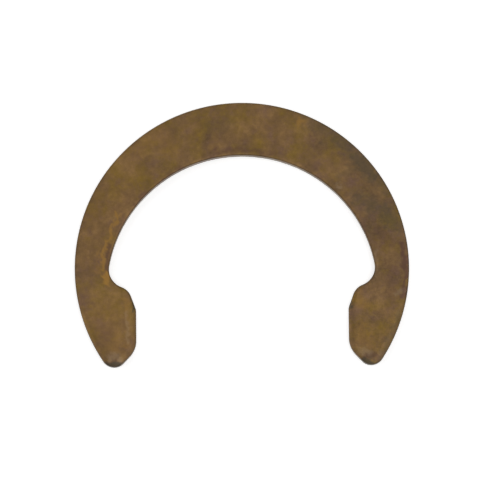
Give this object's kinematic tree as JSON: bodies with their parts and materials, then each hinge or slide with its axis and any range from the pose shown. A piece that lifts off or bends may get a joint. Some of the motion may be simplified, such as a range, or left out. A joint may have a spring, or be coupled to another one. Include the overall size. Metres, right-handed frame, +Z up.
{
  "type": "c-shaped retaining clip",
  "caption": "Flat C-shaped spring-steel retaining clip with a tapered arch and two inward lugs that grip a shaft groove.",
  "frame": {"origin": "on the axis of the shaft groove that the clip grips, at the clip's underside", "axes": "+Y towards the middle of the arch, -Y out of the mouth; +Z up through the strip, towards the face with the rounded edge"},
  "size_m": [0.036, 0.0286, 0.0016],
  "materials": {
    "spring_steel": "matte"
  },
  "bodies": {
    "root": {"retaining_clip": "spring_steel"}
  },
  "joints": []
}
